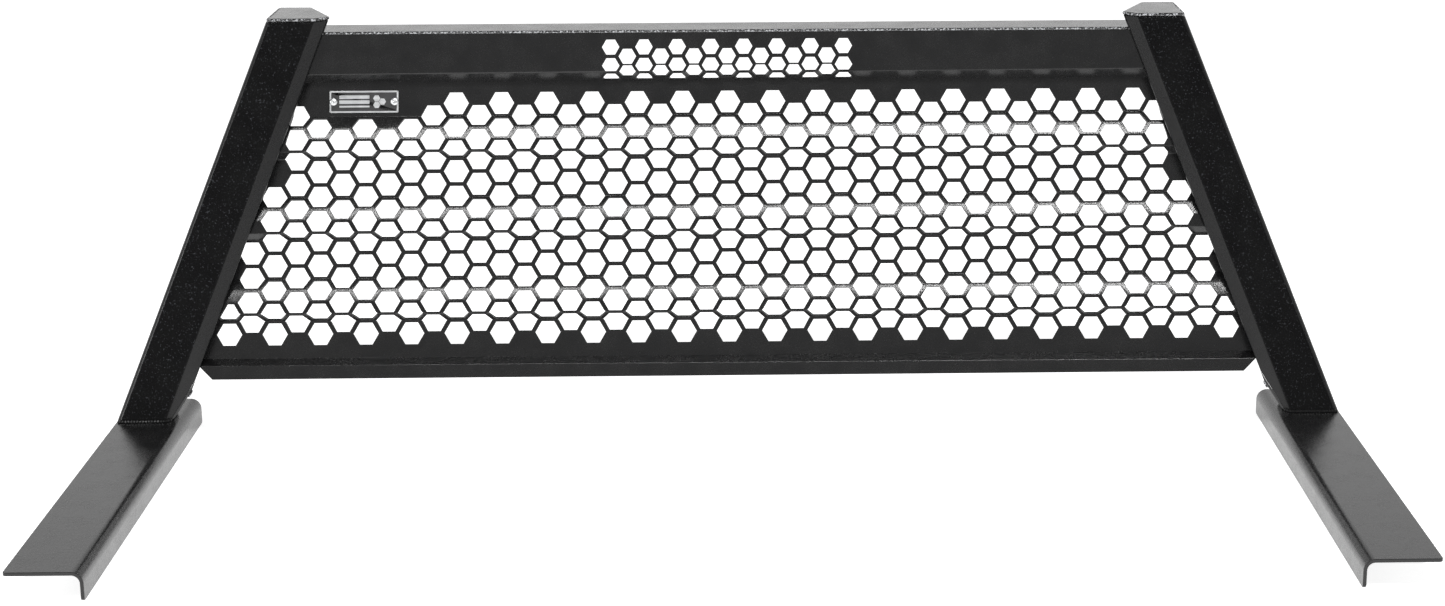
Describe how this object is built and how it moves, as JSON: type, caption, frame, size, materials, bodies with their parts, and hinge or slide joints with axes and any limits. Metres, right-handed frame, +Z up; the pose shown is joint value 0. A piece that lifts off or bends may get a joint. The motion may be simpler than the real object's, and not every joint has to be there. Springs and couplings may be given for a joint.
{
  "type": "headache rack",
  "caption": "Pickup headache rack: leaning folded posts on bed-rail feet carry a hexagon-punched, ridged panel under a rail with a punched light window.",
  "frame": {"origin": "below the middle of the rack, level with the lower edges of the two lips", "axes": "+X to the right seen from the bed, +Y towards the cab (the way the posts lean), +Z up"},
  "size_m": [1.762, 0.8976, 0.5929],
  "materials": {
    "powder_coat": "black fine-texture powder coat, semi-gloss",
    "weld_coat": "black powder coat over rippled weld beads",
    "bare_aluminium": "brushed, with a dark printed field"
  },
  "bodies": {
    "root": {"perforated_panel": "powder_coat", "rail_fascia": "powder_coat", "rail_top_plate": "powder_coat", "rail_top_weld": "weld_coat", "nameplate": "bare_aluminium", "left_nameplate_rivet": "bare_aluminium", "right_nameplate_rivet": "bare_aluminium", "left_post_shell": "powder_coat", "left_toe_plate": "powder_coat", "left_post_back_plate": "powder_coat", "left_post_cap": "powder_coat", "left_cap_weld": "weld_coat", "left_foot": "powder_coat", "left_front_base_weld": "weld_coat", "left_rear_base_weld": "weld_coat", "right_post_shell": "powder_coat", "right_toe_plate": "powder_coat", "right_post_back_plate": "powder_coat", "right_post_cap": "powder_coat", "right_cap_weld": "weld_coat", "right_foot": "powder_coat", "right_front_base_weld": "weld_coat", "right_rear_base_weld": "weld_coat"}
  },
  "joints": []
}
